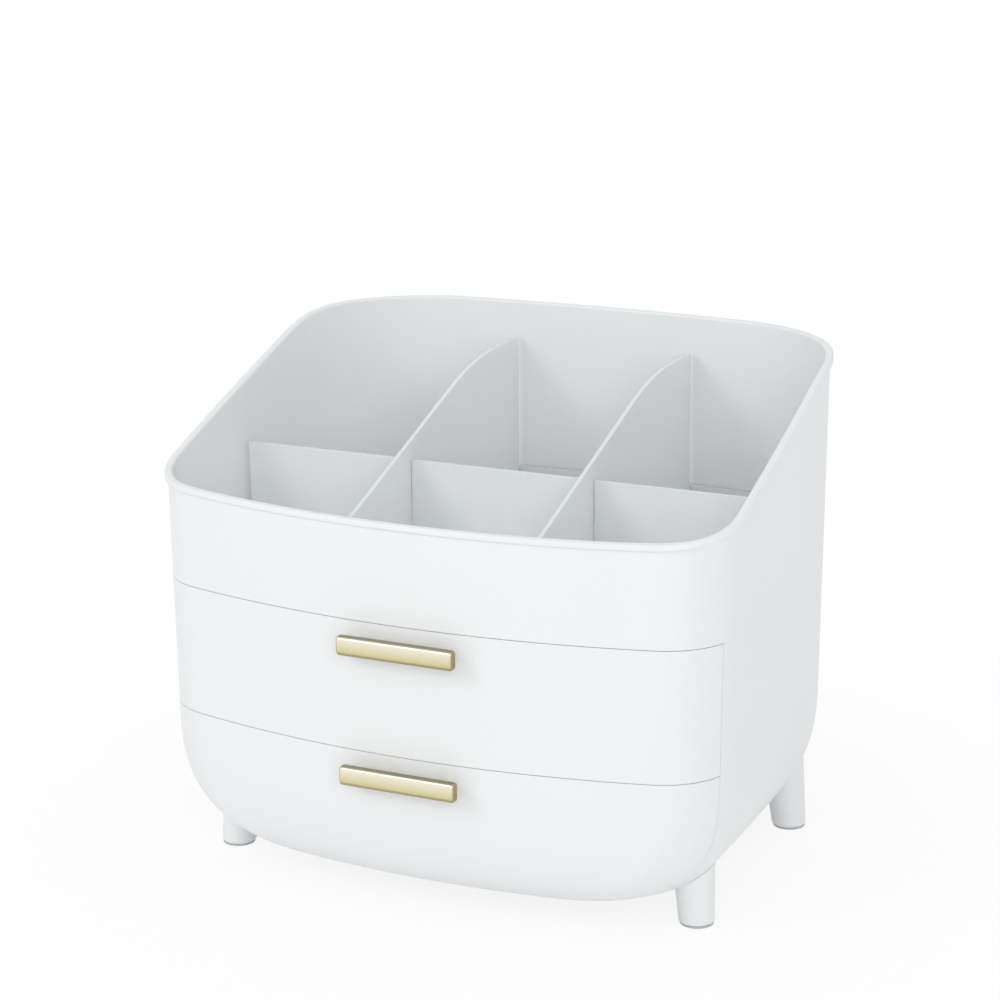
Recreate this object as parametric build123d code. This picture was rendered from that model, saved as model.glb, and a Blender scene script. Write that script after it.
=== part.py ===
from build123d import *
import os
from functools import lru_cache
from math import cos, hypot, radians, sin, sqrt

# Makeup organizer: a moulded tub with a bowed front and a large rounding underneath stands on four
# splayed legs. Its rim is low in front and high at the back, round an open tray with dividers. The
# fronts of two drawers take up the whole front below the tray and wrap round both front corners.
# All lengths are in millimetres. X runs to the right, Y to the back and Z up. While it is modelled,
# the part has Y = 0 midway between the front and the back legs and Z = 0 on the ground.

# Body seen from above, at the back rim
body_width = 300.0
front_reach = 126.0
back_reach = 122.0
front_bow_radius = 490.0
side_bow_radius = 2600.0
side_bow_y = -78.0
back_bow_radius = 900.0
front_corner_radius = 36.0
back_corner_radius = 74.0
side_draft = 0.015

# Body seen from the side, with the rounding under it
underside_z = 12.0
rounding_height = 66.0
front_rounding = 36.0
side_rounding = 60.0
back_rounding = 36.0
roundness = 2.5
corner_softening = 0.5
rounding_steps = 8
wall = 2.5

# Rim and its lip
rim_front_z = 198.0
rim_back_z = 252.0
rim_rise_start_y = -98.0
rim_rise_end_y = 59.0
rim_bend_radius = 160.0
lip_height = 3.2
lip_proud = 1.6
lip_top_radius = 1.2
lip_bottom_radius = 0.8

# Seams between the body and the drawer fronts
upper_seam_z = 151.0
lower_seam_z = 85.6
front_split_y = -88.0
seam_gap = 0.3
split_gap = 0.15

# Drawers
front_wall = 3.0
front_to_tray = 5.0
tray_wall = 2.0
tray_back_gap = 24.5
tray_top_gap = 1.6
upper_floor_gap = 1.15
lower_floor_gap = 0.25
upper_tray_bend = 6.0
lower_tray_bend = 58.0
drawer_travel = 130.0

# Rails on the body and runners on the trays
rail_standoff = 13.0
rail_base = 2.0
rail_flange = 2.0
rail_groove_depth = 4.0
rail_front_gap = 4.0
rail_length = 146.0
upper_rail_drop = 27.0
lower_rail_drop = 18.0
runner_height = 4.0
runner_root = 1.5
runner_reach = 2.3
runner_gap_below = 0.3
runner_gap_above = 0.5
runner_side_gap = 0.6
runner_front_gap = 4.0
runner_length = 154.0
stop_length = 8.0
stop_block_length = 4.0
stop_gap = 0.5

# Shelf between the drawers, and the ledges that carry it
shelf_thickness = 2.5
shelf_drop = 0.9
shelf_wall_gap = 0.4
shelf_front_inset = 5.0
shelf_ledge_thickness = 2.5
shelf_ledge_overlap = 2.0
shelf_boss_radius = 3.2
shelf_boss_height = 6.5

# Tray insert on its ledge, with dividers
ledge_thickness = 2.2
ledge_width = 4.0
insert_gap = 0.4
insert_wall = 2.0
insert_floor = 2.5
insert_skirt = 8.0
divider_thickness = 2.0
divider_gap = 0.2
divider_end_gap = 0.6
divider_rib = 1.5
divider_rib_height = 3.0
long_divider_y = -15.0
long_divider_height = 44.0
cross_divider_x = 50.0
cross_divider_below_rim = 16.0
halving_height = 22.0

# Legs and foot pads
leg_x = 126.8
leg_y = 67.2
leg_splay_x = 0.085
leg_splay_y = 0.066
leg_foot_radius = 8.7
leg_flare = 0.053
leg_edge_radius = 0.8
leg_boss_radius = 6.0
leg_boss_reach = 37.5
leg_pilot_start = 12.0
pad_thickness = 1.2
pad_radius = 8.3
pad_edge_radius = 0.3
pad_spigot_radius = 2.5
pad_spigot_height = 3.0
pad_spigot_gap = 0.1

# Handles
handle_length = 61.2
handle_height = 9.6
handle_depth = 5.2
handle_standoff = 4.4
handle_edge_radius = 1.8
handle_drop = 10.2
post_radius = 2.3
post_x = 24.0
post_thread_depth = 7.0
handle_pad_radius = 4.6
handle_pad_height = 0.6

# Screws: shank radius, head radius and head height, then where they go
small_screw = (1.5, 2.8, 1.8)
leg_screw = (2.0, 3.6, 2.5)
screw_hole_gap = 0.2
thread_gap = 0.05
hole_tip_gap = 0.3
small_boss_radius = 3.8
rail_screw_grip = 4.0
rail_screw_head_depth = 1.3
rail_screw_y = (-56.0, 46.0)
shelf_screw_y = (-58.0, 30.0)
shelf_screw_inset = 10.5
shelf_screw_length = 8.0
tray_screw_x = 80.0
tray_screw_pad_height = 1.8
tray_screw_grip = 4.5
upper_tray_screw_drop = (16.0, 50.0)
lower_tray_screw_drop = (20.0, 44.0)
leg_screw_length = 22.0

# Pieces that seat on the curved body stay this far off it, and cuts run this far past their faces
seat_gap = 0.05
past = 1.0

# Sizes worked out from the ones above
far = 2 * body_width
blank = body_width / 5
join_z = underside_z + rounding_height
upper_front_top_z = upper_seam_z - seam_gap / 2
band_bottom_z = upper_seam_z + seam_gap / 2
upper_front_bottom_z = lower_seam_z + seam_gap / 2
lower_front_top_z = lower_seam_z - seam_gap / 2
ledge_top_z = band_bottom_z + ledge_thickness
insert_top_z = ledge_top_z + insert_floor
insert_inset = wall + insert_gap + insert_wall
shelf_top_z = lower_seam_z - shelf_drop
shelf_bottom_z = shelf_top_z - shelf_thickness
rail_x = body_width / 2 - rail_standoff
groove_x = rail_x - rail_base
tray_half = groove_x - rail_groove_depth - runner_side_gap
rail_front_y = front_split_y + rail_front_gap
rail_back_y = rail_front_y + rail_length
runner_front_y = rail_front_y + runner_front_gap
runner_back_y = runner_front_y + runner_length
rail_levels = {"upper": upper_seam_z - upper_rail_drop, "lower": lower_seam_z - lower_rail_drop}
boss_inset = front_wall + front_to_tray
tray_inset = boss_inset + seat_gap
tray_back_y = back_reach - wall - tray_back_gap
plan_front_y = -(front_reach + handle_standoff + handle_depth)
plan_back_y = back_reach + lip_proud
hands = {"left": -1, "right": 1}
ends = {"front": -1, "back": 1}


def slab(low_z, high_z, low_y=-far, high_y=far):
    """Everything between two heights, and between two places along Y."""
    middle = ((low_y + high_y) / 2, (low_z + high_z) / 2)
    return Pos(0, *middle) * Box(far, high_y - low_y, high_z - low_z)


def block(low, high):
    """A box from its lowest corner to its highest one."""
    size = [b - a for a, b in zip(low, high)]
    return Pos(*[(a + b) / 2 for a, b in zip(low, high)]) * Box(*size)


def rod(start, direction, radius, length):
    """A cylinder that starts at a point and runs along a direction."""
    return Plane(origin=start, z_dir=direction) * extrude(Circle(radius), length)


def both_sides(piece):
    """A piece on the right together with its mirror image on the left."""
    return piece + mirror(piece, about=Plane.YZ)


# Shape of the body
def toward(centre, radius, target):
    """The point of a circle that lies in the direction of the target."""
    dx, dy = target[0] - centre[0], target[1] - centre[1]
    scale = radius / hypot(dx, dy)
    return centre[0] + dx * scale, centre[1] + dy * scale


def corner_centre(bow, bow_radius, side, side_radius, radius, end):
    """Centre of the corner arc that runs smoothly into a front or back bow and a side bow."""
    a, b = bow_radius - radius, side_radius - radius
    dx, dy = side[0] - bow[0], side[1] - bow[1]
    span = hypot(dx, dy)
    along = (a * a - b * b + span * span) / (2 * span)
    across = sqrt(a * a - along * along)
    both = [(bow[0] + (along * dx - turn * across * dy) / span,
             bow[1] + (along * dy + turn * across * dx) / span) for turn in (-1, 1)]
    return max(both, key=lambda centre: end * centre[1])


def outline(z, shrink, inset):
    """Closed outline at a height. Shrink runs from 0 on the wall to 1 where the underside is flat."""
    in_front, in_side, in_back = (inset + shrink * (rounding - inset)
                                  for rounding in (front_rounding, side_rounding, back_rounding))
    half = body_width / 2 - side_draft * (rim_back_z - z) - in_side
    front, back = front_reach - in_front, back_reach - in_back
    front_r, back_r = front_bow_radius - in_front, back_bow_radius - in_back
    side_r = side_bow_radius - in_side
    softer = corner_softening * shrink
    front_corner = front_corner_radius - inset + softer * front_rounding
    back_corner = back_corner_radius - inset + softer * back_rounding
    front_c, side_c, back_c = (0, front_r - front), (half - side_r, side_bow_y), (0, back - back_r)
    near = corner_centre(front_c, front_r, side_c, side_r, front_corner, -1)
    away = corner_centre(back_c, back_r, side_c, side_r, back_corner, 1)
    joints = [toward(front_c, front_r, near), toward(side_c, side_r, near),
              toward(side_c, side_r, away), toward(back_c, back_r, away)]
    between = [((p[0] + q[0]) / 2, (p[1] + q[1]) / 2) for p, q in zip(joints, joints[1:])]
    tops = [toward(near, front_corner, between[0]), toward(side_c, side_r, between[1]),
            toward(away, back_corner, between[2])]
    right = [(joints[i], tops[i], joints[i + 1]) for i in range(len(tops))]
    left = [[(-p[0], p[1]) for p in reversed(arc)] for arc in reversed(right)]
    first, last = joints[0], joints[-1]
    arcs = [((-first[0], first[1]), (0, -front), first)] + right
    arcs += [(last, (0, back), (-last[0], last[1]))] + left
    return Wire([Edge.make_three_point_arc(*[(p[0], p[1], z) for p in arc]) for arc in arcs])


@lru_cache
def form(inset):
    """The closed shape of the body, with every surface moved inwards by the inset."""
    top = rim_back_z + lip_height + lip_proud
    upper = Solid.make_loft([outline(top, 0, inset), outline(join_z, 0, inset)], ruled=True)
    sections = []
    for step in range(rounding_steps + 1):
        turn = radians(90 * step / rounding_steps)
        depth = sin(turn) ** (2 / roundness)
        shrink = 1 - abs(cos(turn)) ** (2 / roundness)
        sections.append(outline(join_z - (rounding_height - inset) * depth, shrink, inset))
    return upper + Solid.make_loft(sections)


def shrink_at(z, inset):
    """How far the rounding has drawn the outline in at a height."""
    depth = min(max((join_z - z) / (rounding_height - inset), 0), 1)
    return 1 - (1 - depth ** roundness) ** (1 / roundness)


def front_y(x, z, inset):
    """Y of the bowed front, moved inwards by the inset, at a place across and a height."""
    in_front = inset + shrink_at(z, inset) * (front_rounding - inset)
    radius = front_bow_radius - in_front
    return radius - (front_reach - in_front) - sqrt(radius ** 2 - x ** 2)


@lru_cache
def above_rim(raise_by):
    """Everything above the line of the rim, moved square to itself by a height."""
    slope_run, slope_rise = rim_rise_end_y - rim_rise_start_y, rim_back_z - rim_front_z
    shift = raise_by * (hypot(slope_run, slope_rise) - slope_run) / slope_rise
    low, high = rim_front_z + raise_by, rim_back_z + raise_by
    start_y, end_y = rim_rise_start_y - shift, rim_rise_end_y - shift
    corners = [(0, -far, low), (0, start_y, low), (0, end_y, high), (0, far, high)]
    line = FilletPolyline(*corners, radius=rim_bend_radius)
    closing = Polyline(corners[-1], (0, far, far), (0, -far, far), corners[0])
    return extrude(make_face(Curve() + [line, closing]), far / 2, both=True, dir=(1, 0, 0))


# Screws, each made with its head's seat at the start and its shank running along the direction
def screw(seat, direction, sizes, length):
    shank_radius, head_radius, head_height = sizes
    backwards = tuple(-c for c in direction)
    head = rod(seat, backwards, head_radius, head_height)
    top_edge = head.edges().sort_by(Plane(origin=seat, z_dir=backwards).location.z_axis)[-1]
    return fillet(top_edge, head_height / 3) + rod(seat, direction, shank_radius, length)


def countersink(face, direction, gap):
    """The cone of a flush screw head, widened all round by a gap."""
    shank_radius, head_radius, _ = small_screw
    place = Plane(origin=face, z_dir=direction)
    return Solid.make_cone(head_radius + gap, shank_radius + gap, rail_screw_head_depth, place)


# Rails, runners and trays
def rail(middle_z):
    """The right-hand rail: a channel open towards the drawer, with a block that stops the runner."""
    low = middle_z - runner_height / 2 - runner_gap_below
    high = middle_z + runner_height / 2 + runner_gap_above
    tip_x = groove_x - rail_groove_depth
    channel = block((tip_x, rail_front_y, low - rail_flange), (rail_x, rail_back_y, high + rail_flange))
    channel -= block((tip_x - past, rail_front_y - past, low), (groove_x, rail_back_y + past, high))
    stop_back_y = runner_back_y - stop_length - drawer_travel - stop_gap
    stop_x = tray_half + runner_reach + stop_gap
    channel += block((stop_x, stop_back_y - stop_block_length, low), (groove_x, stop_back_y, high))
    for y in rail_screw_y:
        channel -= rod((groove_x - past, y, middle_z), (1, 0, 0), small_screw[0] + screw_hole_gap,
                       rail_base + 2 * past)
        channel -= countersink((groove_x, y, middle_z), (1, 0, 0), thread_gap)
    return channel


def runner(middle_z):
    """The right-hand runner of a tray, with the lug at its back end that meets the rail's block."""
    low, high = middle_z - runner_height / 2, middle_z + runner_height / 2
    root_x = tray_half - runner_root
    bar = block((root_x, runner_front_y, low), (tray_half + runner_reach, runner_back_y, high))
    lug = block((root_x, runner_back_y - stop_length, low), (groove_x - runner_side_gap, runner_back_y, high))
    return bar + lug


def trough(half, low_z, high_z, bend, back_y):
    """A block that runs along Y, with its two bottom edges rounded."""
    face = Plane.XZ * (Pos(0, (low_z + high_z) / 2) * Rectangle(2 * half, high_z - low_z))
    face = fillet(face.vertices().group_by(Axis.Z)[0], bend)
    return Pos(0, back_y, 0) * extrude(face, far / 2)


def tray_seat_y(x, z):
    """Y of the face inside the tray that a screw's head seats on."""
    return front_y(x, z, tray_inset + tray_wall) + tray_screw_pad_height


def tray(low_z, top_z, bend, runner_z, screw_places):
    """The open tray of a drawer, with its runners and the pads that its screws seat on."""
    inside_inset = tray_inset + tray_wall
    shell = trough(tray_half, low_z, top_z, bend, tray_back_y) & form(tray_inset)
    shell -= trough(tray_half - tray_wall, low_z + tray_wall, top_z + bend, bend - tray_wall,
                    tray_back_y - tray_wall) & form(inside_inset)
    for x, z in screw_places:
        seat_y = tray_seat_y(x, z)
        shell += rod((x, seat_y, z), (0, -1, 0), small_boss_radius, blank) & form(tray_inset + tray_wall / 2)
        shell -= rod((x, seat_y + past, z), (0, -1, 0), small_screw[0] + screw_hole_gap, blank)
    return shell + both_sides(runner(runner_z))


def tray_screws(screw_places):
    """The screws that hold a tray to its front, as one group."""
    group = []
    for x, z in screw_places:
        seat_y = tray_seat_y(x, z)
        length = seat_y - front_y(x, z, boss_inset) + tray_screw_grip
        group.append(screw((x, seat_y, z), (0, -1, 0), small_screw, length))
    return Compound(group)


# Drawer fronts and handles
def handle_pad_y(z):
    """Y of the face inside the front that a handle screw's head seats on."""
    return front_y(post_x, z, front_wall) + handle_pad_height


def drawer_front(low_z, high_z, handle_z, screw_places):
    """The front of a drawer: a shell that wraps round both corners, with bosses for its screws."""
    panel = (form(0) - form(front_wall)) & slab(low_z, high_z, -far, front_split_y - split_gap / 2)
    for x, z in screw_places:
        boss = rod((x, front_y(x, z, 0), z), (0, 1, 0), small_boss_radius, blank) & form(front_wall / 2)
        panel += boss - form(boss_inset)
        panel -= rod((x, front_y(x, z, boss_inset) + past, z), (0, -1, 0), small_screw[0] + thread_gap,
                     tray_screw_grip + past + hole_tip_gap)
    pad_y = handle_pad_y(handle_z)
    for x in (-post_x, post_x):
        panel += rod((x, pad_y, handle_z), (0, -1, 0), handle_pad_radius, blank) & form(front_wall / 2)
        panel -= rod((x, pad_y + past, handle_z), (0, -1, 0), small_screw[0] + screw_hole_gap, blank)
    return panel


def handle(z):
    """A bar with two posts that stand on the drawer front."""
    back_y = -front_reach - handle_standoff
    bar = block((-handle_length / 2, back_y - handle_depth, z - handle_height / 2),
                (handle_length / 2, back_y, z + handle_height / 2))
    bar = fillet(bar.edges(), handle_edge_radius)
    for x in (-post_x, post_x):
        bar += rod((x, back_y - handle_depth / 2, z), (0, 1, 0), post_radius, blank) - form(-seat_gap)
    for x in (-post_x, post_x):
        bar -= rod((x, -front_reach + past, z), (0, -1, 0), small_screw[0] + thread_gap,
                   past + post_thread_depth)
    return bar


def handle_screws(z):
    """The two screws that hold a handle, put in from behind the drawer front."""
    pad_y = handle_pad_y(z)
    length = pad_y + front_reach + post_thread_depth - hole_tip_gap
    return Compound([screw((x, pad_y, z), (0, -1, 0), small_screw, length) for x in (-post_x, post_x)])


# Legs and foot pads
def leg_point(side_x, side_y, height):
    """The point of a leg's axis at a height."""
    return side_x * (leg_x - leg_splay_x * height), side_y * (leg_y - leg_splay_y * height), height


def leg_direction(side_x, side_y):
    """Up along a leg's axis."""
    return -side_x * leg_splay_x, -side_y * leg_splay_y, 1


def down_leg(side_x, side_y):
    return tuple(-c for c in leg_direction(side_x, side_y))


def leg_places():
    return [(side_x, side_y) for side_y in ends.values() for side_x in hands.values()]


def leg(side_x, side_y):
    """A tapered leg, cut to the body's curve on top and to its foot pad below."""
    foot, direction = leg_point(side_x, side_y, 0), leg_direction(side_x, side_y)
    axis = Plane(origin=foot, z_dir=direction)
    leg_piece = Solid.make_cone(leg_foot_radius, leg_foot_radius + leg_flare * blank, blank, axis)
    leg_piece -= slab(-far, pad_thickness)
    leg_piece = fillet(leg_piece.edges().sort_by(Axis.Z)[0], leg_edge_radius) - form(-seat_gap)
    leg_piece -= rod(leg_point(side_x, side_y, leg_pilot_start), direction, leg_screw[0] + thread_gap, blank)
    recess_height = pad_thickness + pad_spigot_height + pad_spigot_gap
    return leg_piece - rod(foot, (0, 0, 1), pad_spigot_radius + pad_spigot_gap, recess_height)


def foot_pad(side_x, side_y):
    """A rubber disc with a spigot that is pressed into the foot of a leg."""
    foot = leg_point(side_x, side_y, 0)
    disc = rod(foot, (0, 0, 1), pad_radius, pad_thickness)
    disc = fillet(disc.edges().sort_by(Axis.Z)[0], pad_edge_radius)
    return disc + rod(foot, (0, 0, 1), pad_spigot_radius, pad_thickness + pad_spigot_height)


def leg_screws():
    """The screws that come down from inside the body, one into each leg."""
    return Compound([screw(leg_point(*place, leg_boss_reach), down_leg(*place), leg_screw, leg_screw_length)
                     for place in leg_places()])


# Body
def shelf_screw_places():
    x = body_width / 2 - shelf_screw_inset
    return [(side * x, y) for side in hands.values() for y in shelf_screw_y]


def rim_lip():
    """The bead along the rim, with its top edges and its lower outside edge rounded."""
    over, outside, near = above_rim(lip_height), form(-lip_proud).shell(), seam_gap / 10
    lip = (form(-lip_proud) & above_rim(0)) - over - form(wall)
    middles = [(edge, Vertex(*(edge @ 0.5))) for edge in lip.edges()]
    lip = lip.fillet(lip_bottom_radius, [edge for edge, middle in middles if outside.distance_to(middle) < near
                                         and over.distance_to(middle) > lip_height - near])
    middles = [(edge, Vertex(*(edge @ 0.5))) for edge in lip.edges()]
    return lip.fillet(lip_top_radius, [edge for edge, middle in middles if over.distance_to(middle) < near])


def housing_bosses():
    """What stands on the inside of the body's walls, and the holes in it, as two lists."""
    solids, holes = [], []
    for middle_z in rail_levels.values():
        for y in rail_screw_y:
            boss = rod((rail_x, y, middle_z), (1, 0, 0), small_boss_radius, rail_standoff) & form(wall / 2)
            hole = rod((rail_x - past, y, middle_z), (1, 0, 0), small_screw[0] + thread_gap,
                       past + rail_screw_grip - rail_base + hole_tip_gap)
            solids.append(both_sides(boss))
            holes.append(both_sides(hole))
    ledge = block((rail_x - shelf_ledge_overlap, rail_front_y, shelf_bottom_z - shelf_ledge_thickness),
                  (body_width, rail_back_y, shelf_bottom_z)) & form(wall / 2)
    solids.append(both_sides(ledge))
    for x, y in shelf_screw_places():
        solids.append(rod((x, y, shelf_bottom_z), (0, 0, -1), shelf_boss_radius,
                          shelf_ledge_thickness + shelf_boss_height))
        holes.append(rod((x, y, shelf_bottom_z + past), (0, 0, -1), small_screw[0] + thread_gap,
                         past + shelf_screw_length - shelf_thickness + hole_tip_gap))
    for place in leg_places():
        down = down_leg(*place)
        solids.append(rod(leg_point(*place, leg_boss_reach), down, leg_boss_radius, blank) & form(wall / 2))
        holes.append(rod(leg_point(*place, leg_boss_reach + past), down, leg_screw[0] + screw_hole_gap, blank))
    return solids, holes


def housing():
    """The moulded body: walls, underside, rim lip and everything inside that carries the rest."""
    shell = form(0) - form(wall) - above_rim(0) + rim_lip()
    shell -= slab(-far, band_bottom_z, -far, front_split_y + split_gap / 2)
    shell += (form(wall) & slab(band_bottom_z, ledge_top_z)) - form(wall + ledge_width)
    solids, holes = housing_bosses()
    for solid in solids:
        shell += solid
    for hole in holes:
        shell -= hole
    return shell


def shelf():
    """The plate between the two drawers."""
    behind = front_split_y + split_gap / 2 + shelf_wall_gap
    level = slab(shelf_bottom_z, shelf_top_z)
    plate = form(wall + shelf_wall_gap) & level & slab(-far, far, behind, far)
    plate += form(shelf_front_inset) & level & slab(-far, far, -far, behind)
    for x, y in shelf_screw_places():
        plate -= rod((x, y, shelf_top_z + past), (0, 0, -1), small_screw[0] + screw_hole_gap,
                     shelf_thickness + 2 * past)
    return plate


def shelf_screws():
    return Compound([screw((x, y, shelf_top_z), (0, 0, -1), small_screw, shelf_screw_length)
                     for x, y in shelf_screw_places()])


def rail_screws():
    """The flush screws of all four rails."""
    group = []
    for middle_z in rail_levels.values():
        for y in rail_screw_y:
            for side in hands.values():
                face, outwards = (side * groove_x, y, middle_z), (side, 0, 0)
                shank = rod(face, outwards, small_screw[0], rail_screw_grip)
                group.append(shank + countersink(face, outwards, 0))
    return Compound(group)


# Tray insert and dividers
def divider_slots(widen):
    """Where the dividers stand in the insert, each widened on both sides."""
    half = divider_thickness / 2 + widen
    low_z, high_z = insert_top_z, insert_top_z + divider_rib_height
    slots = [block((-far, long_divider_y - half, low_z), (far, long_divider_y + half, high_z))]
    for side in hands.values():
        x = side * cross_divider_x
        slots.append(block((x - half, -far, low_z), (x + half, far, high_z)))
    return slots


def tray_insert():
    """The lift-out floor of the open tray, with a low skirt and ribs that hold the dividers."""
    top_z = insert_top_z + insert_skirt
    bowl = form(wall + insert_gap) & slab(ledge_top_z, top_z)
    bowl -= form(insert_inset) & slab(insert_top_z, top_z + past)
    for rib in divider_slots(divider_gap + divider_rib):
        bowl += rib & form(insert_inset - insert_wall / 2)
    for slot in divider_slots(divider_gap):
        bowl -= slot & form(insert_inset)
    return bowl


def divider_room():
    """The space that dividers may take: inside the insert's skirt, down to a hair above its floor."""
    return form(insert_inset + divider_end_gap) - slab(-far, insert_top_z + divider_gap)


def long_divider():
    """The divider from side to side, slotted from above for the two that cross it."""
    half = divider_thickness / 2
    top_z = insert_top_z + long_divider_height
    plate = block((-far, long_divider_y - half, 0), (far, long_divider_y + half, top_z)) & divider_room()
    for side in hands.values():
        x = side * cross_divider_x
        plate -= block((x - half - divider_gap, -far, insert_top_z + halving_height),
                       (x + half + divider_gap, far, far))
    return plate


def cross_divider(side):
    """A divider from front to back, slotted from below, with its top edge parallel to the rim."""
    half = divider_thickness / 2
    x = side * cross_divider_x
    plate = block((x - half, -far, 0), (x + half, far, far)) & divider_room()
    plate -= above_rim(-cross_divider_below_rim)
    return plate - block((-far, long_divider_y - half - divider_gap, 0),
                         (far, long_divider_y + half + divider_gap, insert_top_z + halving_height + divider_gap))


# Every piece by name
def drawer(name, front_span, tray_span, bend, seam_z, screw_drops):
    """The pieces of one drawer, from the heights that its front and its tray span."""
    handle_z = seam_z - handle_drop
    places = [(side * tray_screw_x, seam_z - drop) for side in hands.values() for drop in screw_drops]
    return {
        f"{name}_drawer_front": drawer_front(*front_span, handle_z, places),
        f"{name}_drawer_tray": tray(*tray_span, bend, rail_levels[name], places),
        f"{name}_tray_screws": tray_screws(places),
        f"{name}_handle": handle(handle_z),
        f"{name}_handle_screws": handle_screws(handle_z),
    }


def organizer():
    """Every piece of the organizer, under the name of its node."""
    pieces = {"housing_shell": housing(), "drawer_shelf": shelf(), "tray_insert": tray_insert(),
              "long_divider": long_divider(), "leg_screws": leg_screws(), "rail_screws": rail_screws(),
              "shelf_screws": shelf_screws()}
    for hand, side in hands.items():
        pieces[f"cross_divider_{hand}"] = cross_divider(side)
        for end, side_y in ends.items():
            pieces[f"leg_{end}_{hand}"] = leg(side, side_y)
            pieces[f"foot_pad_{end}_{hand}"] = foot_pad(side, side_y)
    for level, middle_z in rail_levels.items():
        pieces[f"{level}_rail_right"] = rail(middle_z)
        pieces[f"{level}_rail_left"] = mirror(rail(middle_z), about=Plane.YZ)
    pieces |= drawer("upper", (upper_front_bottom_z, upper_front_top_z),
                     (shelf_top_z + upper_floor_gap, band_bottom_z - tray_top_gap),
                     upper_tray_bend, upper_seam_z, upper_tray_screw_drop)
    pieces |= drawer("lower", (-far, lower_front_top_z),
                     (underside_z + tray_inset + lower_floor_gap, shelf_bottom_z - tray_top_gap),
                     lower_tray_bend, lower_seam_z, lower_tray_screw_drop)
    return pieces


# The finished part stands with the middle of its plan over the origin
os.makedirs("parts", exist_ok=True)
for node, shape in organizer().items():
    export_step(Pos(0, -(plan_front_y + plan_back_y) / 2, 0) * shape, f"parts/{node}.step")
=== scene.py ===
"""Looks of the makeup organizer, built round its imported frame.

The frame holds every piece at its real size, in metres. This script gives each piece the finish of
the real one, adds the cross-recessed screws that show inside an open drawer, and sets up a plain
white studio with the camera at the photograph's place.
"""

import logging
import math
from dataclasses import dataclass
from enum import Enum

import bmesh
import bpy
from mathutils import Matrix, Vector


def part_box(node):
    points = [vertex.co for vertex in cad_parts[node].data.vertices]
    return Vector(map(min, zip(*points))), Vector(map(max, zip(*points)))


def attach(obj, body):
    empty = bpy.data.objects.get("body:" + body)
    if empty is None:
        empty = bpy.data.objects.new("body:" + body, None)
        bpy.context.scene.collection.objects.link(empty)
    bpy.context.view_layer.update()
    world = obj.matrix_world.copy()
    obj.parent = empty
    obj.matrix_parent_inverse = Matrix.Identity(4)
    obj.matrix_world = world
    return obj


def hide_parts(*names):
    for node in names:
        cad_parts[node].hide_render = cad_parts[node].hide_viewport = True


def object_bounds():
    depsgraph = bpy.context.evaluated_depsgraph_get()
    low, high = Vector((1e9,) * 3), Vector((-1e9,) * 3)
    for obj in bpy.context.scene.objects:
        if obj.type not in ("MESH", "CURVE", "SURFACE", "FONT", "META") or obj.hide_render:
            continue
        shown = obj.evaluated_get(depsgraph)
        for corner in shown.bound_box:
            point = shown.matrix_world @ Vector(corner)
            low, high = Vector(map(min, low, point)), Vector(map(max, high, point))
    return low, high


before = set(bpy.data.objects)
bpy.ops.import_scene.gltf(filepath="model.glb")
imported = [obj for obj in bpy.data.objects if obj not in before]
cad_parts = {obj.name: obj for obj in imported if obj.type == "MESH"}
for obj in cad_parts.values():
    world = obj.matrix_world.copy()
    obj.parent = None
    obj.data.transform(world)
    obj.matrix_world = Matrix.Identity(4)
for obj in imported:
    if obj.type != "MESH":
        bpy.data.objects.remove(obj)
CAD_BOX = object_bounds()
MM = 0.001
# Nearly all values of a noise texture lie between these two
NOISE_LOW, NOISE_HIGH = 0.3, 0.7

log = logging.getLogger("organizer")


class Hand(Enum):
    """The two sides of the organizer, seen from its front."""

    LEFT = "left"
    RIGHT = "right"


class End(Enum):
    """The two ends of the organizer's depth."""

    FRONT = "front"
    BACK = "back"


class Level(Enum):
    """The two drawers."""

    UPPER = "upper"
    LOWER = "lower"


def linear(hex_colour: str) -> tuple[float, float, float, float]:
    """Turns an sRGB hex value into a linear colour.

    Args:
        hex_colour: The colour as #RRGGBB.

    Returns:
        Red, green, blue and an alpha of 1.
    """
    shares = [int(hex_colour[place:place + 2], 16) / 255 for place in (1, 3, 5)]
    return (*(c / 12.92 if c <= 0.04045 else ((c + 0.055) / 1.055) ** 2.4 for c in shares), 1.0)


def add_node(tree: bpy.types.NodeTree, kind: str, settings: dict[str, object] | None = None,
             inputs: dict[str | int, object] | None = None) -> bpy.types.Node:
    """Adds a node, with its settings, and with each input set to a value or linked to an output.

    Args:
        tree: The node tree of the material or the world.
        kind: The node's type.
        settings: Properties of the node.
        inputs: Values or output sockets, by the input's name or place.

    Returns:
        The new node.
    """
    node = tree.nodes.new(kind)
    for name, value in (settings or {}).items():
        setattr(node, name, value)
    for name, value in (inputs or {}).items():
        if isinstance(value, bpy.types.NodeSocket):
            tree.links.new(value, node.inputs[name])
        else:
            node.inputs[name].default_value = value
    return node


def new_material(name: str) -> tuple[bpy.types.Material, bpy.types.NodeTree]:
    """Makes an empty node material and returns it with its tree."""
    material = bpy.data.materials.new(name)
    material.use_nodes = True
    material.node_tree.nodes.clear()
    return material, material.node_tree


def per_metre(size_mm: float) -> float:
    """The scale of a texture on Object coordinates whose features are so many millimetres wide."""
    return 1 / (size_mm * MM)


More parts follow.
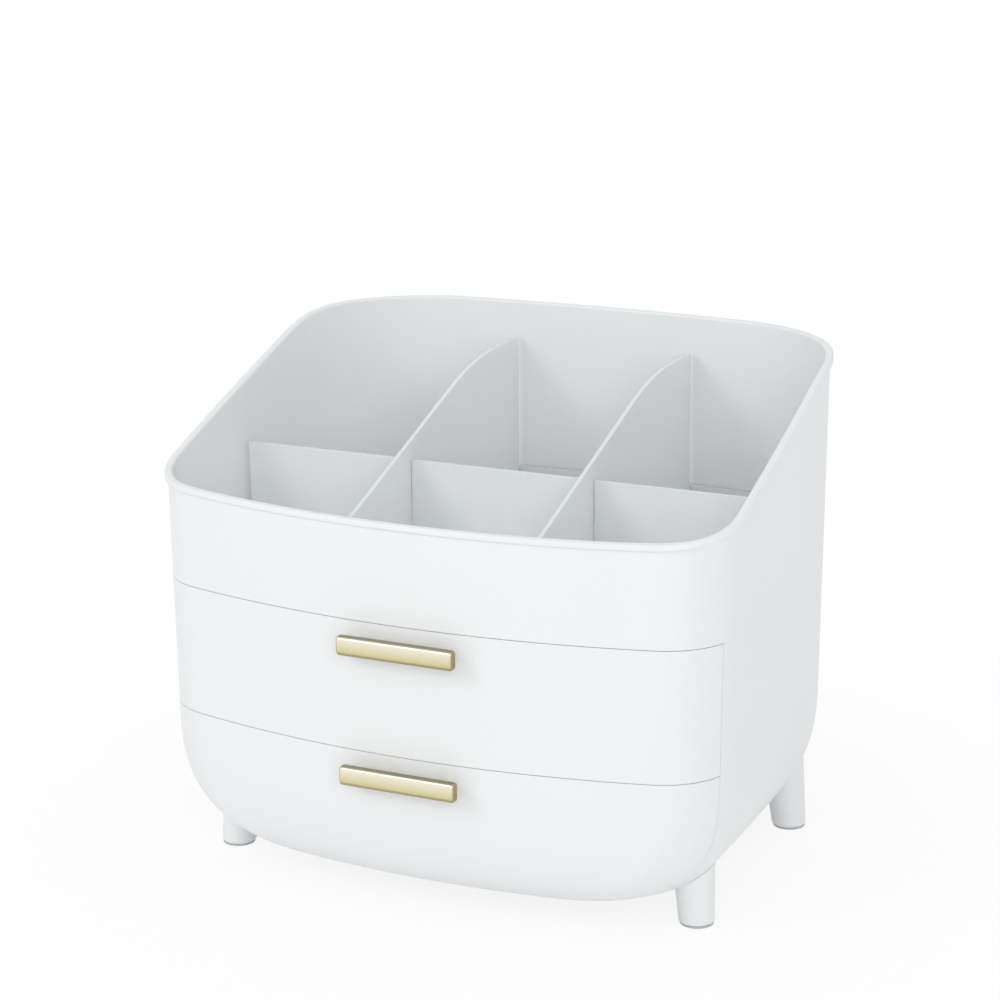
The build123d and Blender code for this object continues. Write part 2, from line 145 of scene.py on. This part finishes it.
@dataclass(frozen=True)
class MouldedPlastic:
    """A thermoplastic as it comes out of a steel mould.

    Sizes are in millimetres. The grain is what the mould's texture leaves, and the waves are the
    slow swells of a wall that shrinks as it cools, which bend reflections a little. The patches of
    colour and gloss are a share of the waves' size.
    """

    name: str
    colour: str
    cloud: str
    roughness: float
    roughness_swing: float
    ior: float
    scatter: float
    scatter_mm: float
    grain_mm: float
    grain_depth_mm: float
    wave_mm: float
    wave_depth_mm: float
    edge_mm: float
    patch_share: float = 0.6
    edge_samples: int = 4
    scatter_reach: tuple[float, float, float] = (1.0, 0.95, 0.9)

    def material(self) -> bpy.types.Material:
        """Builds the material.

        Returns:
            The material, on Object coordinates throughout.
        """
        material, tree = new_material(self.name)
        place = add_node(tree, "ShaderNodeTexCoord").outputs["Object"]
        grain = add_node(tree, "ShaderNodeTexNoise", {}, {
            "Vector": place, "Scale": per_metre(self.grain_mm), "Detail": 2.0, "Roughness": 0.55})
        wave = add_node(tree, "ShaderNodeTexNoise", {}, {
            "Vector": place, "Scale": per_metre(self.wave_mm), "Detail": 1.0, "Roughness": 0.4})
        patch = add_node(tree, "ShaderNodeTexNoise", {}, {
            "Vector": place, "Scale": per_metre(self.wave_mm * self.patch_share), "Detail": 3.0,
            "Roughness": 0.6})
        colour = add_node(tree, "ShaderNodeMix", {"data_type": "RGBA"}, {
            0: patch.outputs["Fac"], 6: linear(self.colour), 7: linear(self.cloud)})
        rough = add_node(tree, "ShaderNodeMapRange", {}, {
            "Value": patch.outputs["Fac"], "From Min": NOISE_LOW, "From Max": NOISE_HIGH,
            "To Min": self.roughness - self.roughness_swing, "To Max": self.roughness + self.roughness_swing})
        edge = add_node(tree, "ShaderNodeBevel", {"samples": self.edge_samples}, {
            "Radius": self.edge_mm * MM})
        swell = add_node(tree, "ShaderNodeBump", {}, {
            "Height": wave.outputs["Fac"], "Distance": self.wave_depth_mm * MM, "Strength": 1.0,
            "Normal": edge.outputs["Normal"]})
        bump = add_node(tree, "ShaderNodeBump", {}, {
            "Height": grain.outputs["Fac"], "Distance": self.grain_depth_mm * MM, "Strength": 1.0,
            "Normal": swell.outputs["Normal"]})
        shader = add_node(tree, "ShaderNodeBsdfPrincipled", {"subsurface_method": "RANDOM_WALK"}, {
            "Base Color": colour.outputs[2], "Roughness": rough.outputs["Result"], "IOR": self.ior,
            "Subsurface Weight": self.scatter, "Subsurface Scale": self.scatter_mm * MM,
            "Subsurface Radius": self.scatter_reach, "Normal": bump.outputs["Normal"]})
        add_node(tree, "ShaderNodeOutputMaterial", {}, {"Surface": shader.outputs["BSDF"]})
        return material


@dataclass(frozen=True)
class PlatedMetal:
    """A plated metal with fine brush lines along X. Sizes are in millimetres.

    Painted reflection and shade run up the piece, from its underside at 0 to its top at 1, and the ends
    that face along X have a painted shade of their own, which blends in as the surface turns towards X.
    """

    name: str
    painted_light_tones: tuple[tuple[float, str], ...]
    painted_end_shade: str
    roughness: float
    roughness_swing: float
    line_mm: float
    line_length_mm: float
    line_depth_mm: float
    end_shade_facing: tuple[float, float] = (0.3, 0.8)

    def painted_light_tone(self, tree: bpy.types.NodeTree, place: bpy.types.NodeSocket, low_z: float,
             high_z: float) -> bpy.types.NodeSocket:
        """The plating's colour with painted reflection and shade, by height and by the way its surface faces.

        Args:
            tree: The material's node tree.
            place: The Object coordinates.
            low_z: Height of the piece's underside, in metres.
            high_z: Height of the piece's top, in metres.

        Returns:
            The colour.
        """
        at = add_node(tree, "ShaderNodeSeparateXYZ", {}, {"Vector": place})
        share = add_node(tree, "ShaderNodeMapRange", {}, {
            "Value": at.outputs["Z"], "From Min": low_z, "From Max": high_z, "To Min": 0.0, "To Max": 1.0})
        # Painted reflection and shade: one colour for each height up the piece
        painted_light_ramp = add_node(tree, "ShaderNodeValToRGB", {}, {"Fac": share.outputs["Result"]})
        stops = painted_light_ramp.color_ramp.elements
        while len(stops) < len(self.painted_light_tones):
            stops.new(0.5)
        for stop, (height, colour) in zip(stops, self.painted_light_tones):
            stop.position, stop.color = height, linear(colour)
        # Painted shade on the faces that turn along X, at the ends
        facing = add_node(tree, "ShaderNodeSeparateXYZ", {}, {
            "Vector": add_node(tree, "ShaderNodeNewGeometry").outputs["Normal"]})
        sideways = add_node(tree, "ShaderNodeMath", {"operation": "ABSOLUTE"}, {0: facing.outputs["X"]})
        face_from, face_to = self.end_shade_facing
        end_shade_share = add_node(tree, "ShaderNodeMapRange", {}, {
            "Value": sideways.outputs[0], "From Min": face_from, "From Max": face_to, "To Min": 0.0,
            "To Max": 1.0})
        painted_light_colour = add_node(tree, "ShaderNodeMix", {"data_type": "RGBA"}, {
            0: end_shade_share.outputs["Result"], 6: painted_light_ramp.outputs["Color"], 7: linear(self.painted_end_shade)})
        return painted_light_colour.outputs[2]

    def material(self, low_z: float = 0.0, high_z: float = 1.0) -> bpy.types.Material:
        """Builds the material.

        Args:
            low_z: Height of the piece's underside, in metres.
            high_z: Height of the piece's top, in metres.

        Returns:
            The material, on Object coordinates throughout.
        """
        material, tree = new_material(self.name)
        place = add_node(tree, "ShaderNodeTexCoord").outputs["Object"]
        stretch = add_node(tree, "ShaderNodeMapping", {}, {
            "Vector": place, "Scale": (self.line_mm / self.line_length_mm, 1.0, 1.0)})
        line = add_node(tree, "ShaderNodeTexNoise", {}, {
            "Vector": stretch.outputs["Vector"], "Scale": per_metre(self.line_mm), "Detail": 3.0,
            "Roughness": 0.6})
        rough = add_node(tree, "ShaderNodeMapRange", {}, {
            "Value": line.outputs["Fac"], "From Min": NOISE_LOW, "From Max": NOISE_HIGH,
            "To Min": self.roughness - self.roughness_swing, "To Max": self.roughness + self.roughness_swing})
        bump = add_node(tree, "ShaderNodeBump", {}, {
            "Height": line.outputs["Fac"], "Distance": self.line_depth_mm * MM, "Strength": 1.0})
        shader = add_node(tree, "ShaderNodeBsdfPrincipled", {}, {
            "Base Color": self.painted_light_tone(tree, place, low_z, high_z), "Roughness": rough.outputs["Result"],
            "Metallic": 1.0, "Normal": bump.outputs["Normal"]})
        add_node(tree, "ShaderNodeOutputMaterial", {}, {"Surface": shader.outputs["BSDF"]})
        return material


# White ABS from a finely textured mould: a soft sheen, and so nearly opaque that its edges stay crisp
SHELL_ABS = MouldedPlastic(
    name="white_abs_moulded", colour="#F4F5F5", cloud="#F2F3F4", roughness=0.34, roughness_swing=0.03,
    ior=1.52, scatter=0.03, scatter_mm=1.0, grain_mm=0.9, grain_depth_mm=0.004, wave_mm=70.0,
    wave_depth_mm=0.15, edge_mm=0.3)
# White polypropylene for the inner trays: waxier and duller than the shell, with a coarser grain
TRAY_PP = MouldedPlastic(
    name="white_polypropylene_moulded", colour="#EDEEEE", cloud="#E9EBEB", roughness=0.5,
    roughness_swing=0.05, ior=1.49, scatter=0.3, scatter_mm=2.0, grain_mm=1.1, grain_depth_mm=0.012,
    wave_mm=45.0, wave_depth_mm=0.2, edge_mm=0.4)
# Polystyrene sheet dividers: hard and smooth, the glossiest of the plastics
DIVIDER_PS = MouldedPlastic(
    name="white_polystyrene_moulded", colour="#EEF0F1", cloud="#EAECED", roughness=0.2, roughness_swing=0.03,
    ior=1.59, scatter=0.35, scatter_mm=2.5, grain_mm=0.8, grain_depth_mm=0.002, wave_mm=50.0,
    wave_depth_mm=0.12, edge_mm=0.3)
# Acetal rails: slippery, slightly milky and a little greyer
RAIL_POM = MouldedPlastic(
    name="natural_acetal_moulded", colour="#E2E4E5", cloud="#DCDFE0", roughness=0.38, roughness_swing=0.04,
    ior=1.48, scatter=0.3, scatter_mm=1.5, grain_mm=0.8, grain_depth_mm=0.006, wave_mm=30.0,
    wave_depth_mm=0.1, edge_mm=0.2)
# Thermoplastic rubber foot pads: dull, with a grain that can be felt
PAD_TPR = MouldedPlastic(
    name="grey_rubber_moulded", colour="#C4C5C5", cloud="#B9BABA", roughness=0.75, roughness_swing=0.08,
    ior=1.51, scatter=0.05, scatter_mm=0.5, grain_mm=0.7, grain_depth_mm=0.03, wave_mm=12.0,
    wave_depth_mm=0.1, edge_mm=0.2)
# Pale gold plating on cast zinc, satin brushed along the bar. Painted shade and reflection darken its
# underside, top and ends, and a painted highlight lightens a band on its face
HANDLE_GOLD = PlatedMetal(
    name="pale_gold_plated_zinc_satin",
    painted_light_tones=((0.0, "#8F8664"), (0.12, "#A59C72"), (0.24, "#D6CE9C"), (0.55, "#E6DFC0"), (0.86, "#F4EADA"),
           (0.94, "#C4C0A8"), (1.0, "#8A8970")),
    painted_end_shade="#A59673", roughness=0.28, roughness_swing=0.03, line_mm=0.45, line_length_mm=14.0,
    line_depth_mm=0.0005)
# Zinc-plated steel screws: bright grey, with a faint mottle, a painted shade on the sides that face along X
# and a painted shade a touch darker lower down
SCREW_ZINC = PlatedMetal(
    name="zinc_plated_steel", painted_light_tones=((0.0, "#C3C5C8"), (1.0, "#C9CBCD")), painted_end_shade="#B9BCBF",
    roughness=0.32, roughness_swing=0.08, line_mm=0.5, line_length_mm=0.9, line_depth_mm=0.004)

FINISHES = {"shell_plastic": SHELL_ABS, "inner_plastic": TRAY_PP, "divider_plastic": DIVIDER_PS,
            "rail_plastic": RAIL_POM, "foot_rubber": PAD_TPR, "screw_steel": SCREW_ZINC}


class Paintshop:
    """Makes each finish once and puts it on pieces."""

    def __init__(self) -> None:
        """Makes every material."""
        self.materials = {slot: finish.material() for slot, finish in FINISHES.items()}

    def dress_node(self, node: str, slot: str) -> None:
        """Gives a node of the frame the material of a slot."""
        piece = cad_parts[node]
        for material_slot in piece.material_slots:
            material_slot.material = self.materials[slot]
        log.info("%s: %s", node, self.materials[slot].name)

    def dress_handle(self, node: str) -> None:
        """Gives a handle its plating, with painted reflection and shade running up from its underside to its
        top.
        """
        low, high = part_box(node)
        material = HANDLE_GOLD.material(low.z, high.z)
        for material_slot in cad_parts[node].material_slots:
            material_slot.material = material
        log.info("%s: %s", node, material.name)

    def dress_piece(self, piece: bpy.types.Object, slot: str) -> None:
        """Gives a new piece the material of a slot."""
        piece.data.materials.append(self.materials[slot])
        log.info("%s: %s, %d faces", piece.name, self.materials[slot].name, len(piece.data.polygons))


def new_piece(name: str, mesh: bmesh.types.BMesh) -> bpy.types.Object:
    """Turns a finished bmesh into an object at the origin."""
    data = bpy.data.meshes.new(name)
    mesh.to_mesh(data)
    mesh.free()
    piece = bpy.data.objects.new(name, data)
    bpy.context.scene.collection.objects.link(piece)
    return piece


@dataclass
class PanHeadScrews:
    """The cross-recessed screws that hold one drawer's tray to its front.

    Sizes are in millimetres, and agree with the solids that the screws stand for.
    """

    level: Level
    head_radius: float = 2.8
    head_height: float = 1.8
    head_edge: float = 0.6
    recess_share: float = 0.62
    recess_depth: float = 1.0
    recess_taper: float = 0.6
    recess_square: float = 0.85
    grid_cells: int = 5
    edge_steps: int = 4
    shank_radius: float = 1.5
    tip_share: float = 0.6
    same_point: float = 0.01

    @property
    def node(self) -> str:
        """The node that the screws stand for."""
        return f"{self.level.value}_tray_screws"

    def places(self) -> list[tuple[Vector, float]]:
        """Finds each screw of the node.

        Returns:
            For each screw the middle of its head's top and the screw's whole length, in metres.
        """
        mesh = bmesh.new()
        mesh.from_mesh(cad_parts[self.node].data)
        bmesh.ops.remove_doubles(mesh, verts=mesh.verts, dist=self.same_point * MM)
        left, found = set(mesh.verts), []
        while left:
            island, waiting = set(), [next(iter(left))]
            while waiting:
                vertex = waiting.pop()
                if vertex not in island:
                    island.add(vertex)
                    waiting += [edge.other_vert(vertex) for edge in vertex.link_edges]
            left -= island
            points = [vertex.co for vertex in island]
            low = Vector([min(point[axis] for point in points) for axis in range(3)])
            high = Vector([max(point[axis] for point in points) for axis in range(3)])
            middle = (low + high) / 2
            found.append((Vector((middle.x, high.y, middle.z)), high.y - low.y))
        mesh.free()
        return sorted(found, key=lambda place: tuple(place[0]))

    def head(self, shank_radius: float, length: float) -> bmesh.types.BMesh:
        """Models one screw, head up along Z, with the top of its head at the origin.

        Args:
            shank_radius: Radius of the shank, in metres.
            length: Whole length with the head, in metres.

        Returns:
            The closed mesh.
        """
        radius, height = self.head_radius * MM, self.head_height * MM
        half = radius * self.recess_share * self.recess_square
        mesh = bmesh.new()
        bmesh.ops.create_grid(mesh, x_segments=self.grid_cells, y_segments=self.grid_cells, size=half)
        rim = [edge for edge in mesh.edges if edge.is_boundary]
        ring = bmesh.ops.create_circle(
            mesh, segments=4 * self.grid_cells, radius=radius - self.head_edge * MM,
            matrix=Matrix.Rotation(math.radians(45), 4, "Z"))["verts"]
        outer = [edge for edge in mesh.edges if all(vert in ring for vert in edge.verts)]
        bmesh.ops.bridge_loops(mesh, edges=rim + outer)
        self.sink_cross(mesh, half)
        edges = outer
        for next_radius, next_z in self.profile(radius, height, shank_radius, length):
            grown = bmesh.ops.extrude_edge_only(mesh, edges=edges)["geom"]
            verts = [part for part in grown if isinstance(part, bmesh.types.BMVert)]
            edges = [part for part in grown if isinstance(part, bmesh.types.BMEdge)
                     and all(vert in verts for vert in part.verts)]
            for vert in verts:
                out = Vector((vert.co.x, vert.co.y, 0)).normalized() * next_radius
                vert.co = Vector((out.x, out.y, next_z))
        bmesh.ops.contextual_create(mesh, geom=edges)
        bmesh.ops.recalc_face_normals(mesh, faces=mesh.faces)
        return mesh

    def sink_cross(self, mesh: bmesh.types.BMesh, half: float) -> None:
        """Sinks the driver's cross into the middle of the head's top."""
        cell = 2 * half / self.grid_cells
        cross = []
        for face in mesh.faces:
            middle = face.calc_center_median()
            inside = max(abs(middle.x), abs(middle.y)) < half
            if inside and min(abs(middle.x), abs(middle.y)) < cell / 2:
                cross.append(face)
        sunk = bmesh.ops.extrude_face_region(mesh, geom=cross)["geom"]
        bmesh.ops.delete(mesh, geom=cross, context="FACES")
        verts = [part for part in sunk if isinstance(part, bmesh.types.BMVert)]
        bmesh.ops.scale(mesh, vec=(self.recess_taper, self.recess_taper, 1), verts=verts)
        bmesh.ops.translate(mesh, vec=(0, 0, -self.recess_depth * MM), verts=verts)

    def profile(self, radius: float, height: float, shank_radius: float,
                length: float) -> list[tuple[float, float]]:
        """The radii and heights that the screw's skin runs through, from its top to its tip."""
        edge = self.head_edge * MM
        turns = [math.radians(90 * step / self.edge_steps) for step in range(1, self.edge_steps + 1)]
        rounded = [(radius - edge + edge * math.sin(turn), -edge + edge * math.cos(turn)) for turn in turns]
        tip = shank_radius * self.tip_share
        return rounded + [(radius, -height), (shank_radius, -height), (shank_radius, tip - length),
                          (tip, -length)]

    def build(self, paint: Paintshop) -> None:
        """Models the drawer's screws, dresses them and puts them on the drawer.

        Args:
            paint: Where the finish comes from.
        """
        group = bmesh.new()
        for top, length in self.places():
            one = self.head(self.shank_radius * MM, length)
            bmesh.ops.transform(one, verts=one.verts,
                                matrix=Matrix.Translation(top) @ Matrix.Rotation(math.radians(-90), 4, "X"))
            data = bpy.data.meshes.new("one_screw")
            one.to_mesh(data)
            one.free()
            group.from_mesh(data)
            bpy.data.meshes.remove(data)
        piece = new_piece(f"{self.level.value}_cross_head_screws", group)
        paint.dress_piece(piece, "screw_steel")
        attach(piece, f"{self.level.value}_drawer")
        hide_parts(self.node)


@dataclass
class Tub:
    """The moulded body, with the shelf and rails inside it."""

    shell: str = "housing_shell"
    shelf: str = "drawer_shelf"
    screws: tuple[str, ...] = ("leg_screws", "rail_screws", "shelf_screws")

    def build(self, paint: Paintshop) -> None:
        """Dresses the body and everything fixed inside it."""
        paint.dress_node(self.shell, "shell_plastic")
        paint.dress_node(self.shelf, "inner_plastic")
        for level in Level:
            for hand in Hand:
                paint.dress_node(f"{level.value}_rail_{hand.value}", "rail_plastic")
        for node in self.screws:
            paint.dress_node(node, "screw_steel")


@dataclass
class OpenTray:
    """The open tray: its lift-out insert and the dividers that stand in it."""

    insert: str = "tray_insert"
    long_divider: str = "long_divider"

    def build(self, paint: Paintshop) -> None:
        """Dresses the insert and its dividers."""
        paint.dress_node(self.insert, "inner_plastic")
        paint.dress_node(self.long_divider, "divider_plastic")
        for hand in Hand:
            paint.dress_node(f"cross_divider_{hand.value}", "divider_plastic")


@dataclass
class Drawer:
    """One drawer: the front that shows, the tray behind it, its handle and screws."""

    level: Level

    def build(self, paint: Paintshop) -> None:
        """Dresses the drawer and adds its cross-recessed screws."""
        name = self.level.value
        paint.dress_node(f"{name}_drawer_front", "shell_plastic")
        paint.dress_node(f"{name}_drawer_tray", "inner_plastic")
        paint.dress_handle(f"{name}_handle")
        paint.dress_node(f"{name}_handle_screws", "screw_steel")
        PanHeadScrews(self.level).build(paint)


@dataclass
class Legs:
    """The four splayed legs and their rubber pads."""

    def build(self, paint: Paintshop) -> None:
        """Dresses the legs and their pads."""
        for end in End:
            for hand in Hand:
                paint.dress_node(f"leg_{end.value}_{hand.value}", "shell_plastic")
                paint.dress_node(f"foot_pad_{end.value}_{hand.value}", "foot_rubber")


@dataclass
class PhotoCamera:
    """The camera at the photograph's place, found from the object's own edges.

    Lengths are in millimetres from the ground between the four legs, and angles in degrees. Yaw
    turns the view to the left, pitch tips it up and roll turns the camera about its own view.
    """

    across: float = 573.81
    forth: float = -1247.13
    height: float = 571.92
    yaw: float = 24.979
    pitch: float = -15.932
    roll: float = 0.538
    focal_px: float = 2831.80
    frame_px: float = 1000.0
    sensor_mm: float = 36.0
    clip_range: tuple[float, float] = (0.05, 50.0)

    def turn(self) -> Matrix:
        """The camera's rotation: its right, its up and its back, as columns."""
        yaw, pitch, roll = (math.radians(angle) for angle in (self.yaw, self.pitch, self.roll))
        ahead = Vector((-math.sin(yaw) * math.cos(pitch), math.cos(yaw) * math.cos(pitch), math.sin(pitch)))
        level_right = Vector((math.cos(yaw), math.sin(yaw), 0))
        level_down = ahead.cross(level_right)
        right = math.cos(roll) * level_right + math.sin(roll) * level_down
        down = math.cos(roll) * level_down - math.sin(roll) * level_right
        return Matrix((right, -down, -ahead)).transposed()

    def build(self, ground: Vector) -> None:
        """Makes the scene's camera.

        Args:
            ground: The ground between the four legs, in metres.
        """
        data = bpy.data.cameras.new("photo_camera")
        data.sensor_width = self.sensor_mm
        data.lens = self.focal_px * self.sensor_mm / self.frame_px
        data.clip_start, data.clip_end = self.clip_range
        camera = bpy.data.objects.new("photo_camera", data)
        place = ground + Vector((self.across, self.forth, self.height)) * MM
        camera.matrix_world = Matrix.Translation(place) @ self.turn().to_4x4()
        bpy.context.scene.collection.objects.link(camera)
        bpy.context.scene.camera = camera


@dataclass(frozen=True)
class SoftBox:
    """A large soft lamp. Its place is in metres from the middle of the object, its power in watts."""

    name: str
    place: tuple[float, float, float]
    width: float
    height: float
    power: float

    def build(self, middle: Vector) -> None:
        """Makes the lamp, turned to the middle of the object."""
        data = bpy.data.lights.new(self.name, "AREA")
        data.shape, data.size, data.size_y, data.energy = "RECTANGLE", self.width, self.height, self.power
        lamp = bpy.data.objects.new(self.name, data)
        lamp.location = middle + Vector(self.place)
        lamp.rotation_euler = (-Vector(self.place)).to_track_quat("-Z", "Y").to_euler()
        bpy.context.scene.collection.objects.link(lamp)


@dataclass
class Studio:
    """A white studio: floor, background and soft lamps.

    Lengths are in metres. The shadow's share of the floor fades out between the two distances of
    shadow_reach from the middle of the floor.
    """

    floor_size: float = 12.0
    floor_colour: str = "#FAFAFA"
    floor_shadow: float = 0.15
    shadow_reach: tuple[float, float] = (0.12, 0.42)
    background: str = "#FFFFFF"
    sky_colour: str = "#FAFCFD"
    sky: float = 0.71
    lamps: tuple[SoftBox, ...] = (
        SoftBox("key_left", (-1.3, -1.9, 1.5), 1.0, 1.0, 10.4),
        SoftBox("fill_right", (1.3, -2.0, 0.9), 1.2, 1.2, 11.3),
    )

    def seen(self, tree: bpy.types.NodeTree) -> bpy.types.NodeSocket:
        """One where the view, a reflection or a clear piece shows the background, else zero."""
        path = add_node(tree, "ShaderNodeLightPath")
        shown = add_node(tree, "ShaderNodeMath", {"operation": "MAXIMUM"}, {
            0: path.outputs["Is Camera Ray"], 1: path.outputs["Is Glossy Ray"]})
        either = add_node(tree, "ShaderNodeMath", {"operation": "MAXIMUM"}, {
            0: shown.outputs[0], 1: path.outputs["Is Transmission Ray"]})
        return either.outputs[0]

    def floor_material(self) -> bpy.types.Material:
        """White paper that keeps a share of the object's shadow where it is seen, close to the object."""
        material, tree = new_material("white_paper_sweep")
        paper = add_node(tree, "ShaderNodeBsdfDiffuse", {}, {"Color": linear(self.floor_colour)})
        shaded = add_node(tree, "ShaderNodeBsdfDiffuse", {}, {"Color": linear(self.background)})
        white = add_node(tree, "ShaderNodeEmission", {}, {"Color": linear(self.background), "Strength": 1.0})
        place = add_node(tree, "ShaderNodeTexCoord").outputs["Object"]
        away = add_node(tree, "ShaderNodeVectorMath", {"operation": "LENGTH"}, {0: place})
        near, far = self.shadow_reach
        share = add_node(tree, "ShaderNodeMapRange", {"interpolation_type": "SMOOTHSTEP"}, {
            "Value": away.outputs["Value"], "From Min": near, "From Max": far, "To Min": self.floor_shadow,
            "To Max": 0.0})
        seen = add_node(tree, "ShaderNodeMixShader", {}, {
            0: share.outputs["Result"], 1: white.outputs["Emission"], 2: shaded.outputs["BSDF"]})
        surface = add_node(tree, "ShaderNodeMixShader", {}, {
            0: self.seen(tree), 1: paper.outputs["BSDF"], 2: seen.outputs["Shader"]})
        add_node(tree, "ShaderNodeOutputMaterial", {}, {"Surface": surface.outputs["Shader"]})
        return material

    def build_world(self) -> None:
        """Even light from all round, seen as plain white."""
        world = bpy.data.worlds.new("white_studio")
        world.use_nodes = True
        tree = world.node_tree
        tree.nodes.clear()
        light = add_node(tree, "ShaderNodeBackground", {}, {
            "Color": linear(self.sky_colour), "Strength": self.sky})
        white = add_node(tree, "ShaderNodeBackground", {}, {
            "Color": linear(self.background), "Strength": 1.0})
        both = add_node(tree, "ShaderNodeMixShader", {}, {
            0: self.seen(tree), 1: light.outputs["Background"], 2: white.outputs["Background"]})
        add_node(tree, "ShaderNodeOutputWorld", {}, {"Surface": both.outputs["Shader"]})
        bpy.context.scene.world = world

    def build(self, low: Vector, high: Vector) -> None:
        """Makes the floor under the object, the background and the lamps round its middle."""
        mesh = bmesh.new()
        bmesh.ops.create_grid(mesh, x_segments=1, y_segments=1, size=self.floor_size / 2)
        bmesh.ops.translate(mesh, vec=(0, 0, low.z), verts=mesh.verts)
        floor = new_piece("studio_floor", mesh)
        floor.data.materials.append(self.floor_material())
        self.build_world()
        for lamp in self.lamps:
            lamp.build((low + high) / 2)
        bpy.context.scene.view_settings.view_transform = "Standard"


def feet_centre() -> Vector:
    """The ground between the four foot pads."""
    pads = [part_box(f"foot_pad_{end.value}_{hand.value}") for end in End for hand in Hand]
    middles = [(low + high) / 2 for low, high in pads]
    centre = sum(middles, Vector()) / len(middles)
    return Vector((centre.x, centre.y, min(low.z for low, _ in pads)))


def main() -> None:
    """Builds the organizer's sub-assemblies in order, then the studio and the camera."""
    logging.basicConfig(level=logging.INFO, format="%(name)s %(message)s")
    paint = Paintshop()
    Tub().build(paint)
    OpenTray().build(paint)
    for level in Level:
        Drawer(level).build(paint)
    Legs().build(paint)
    Studio().build(*CAD_BOX)
    PhotoCamera().build(feet_centre())


if __name__ == "__main__":
    main()
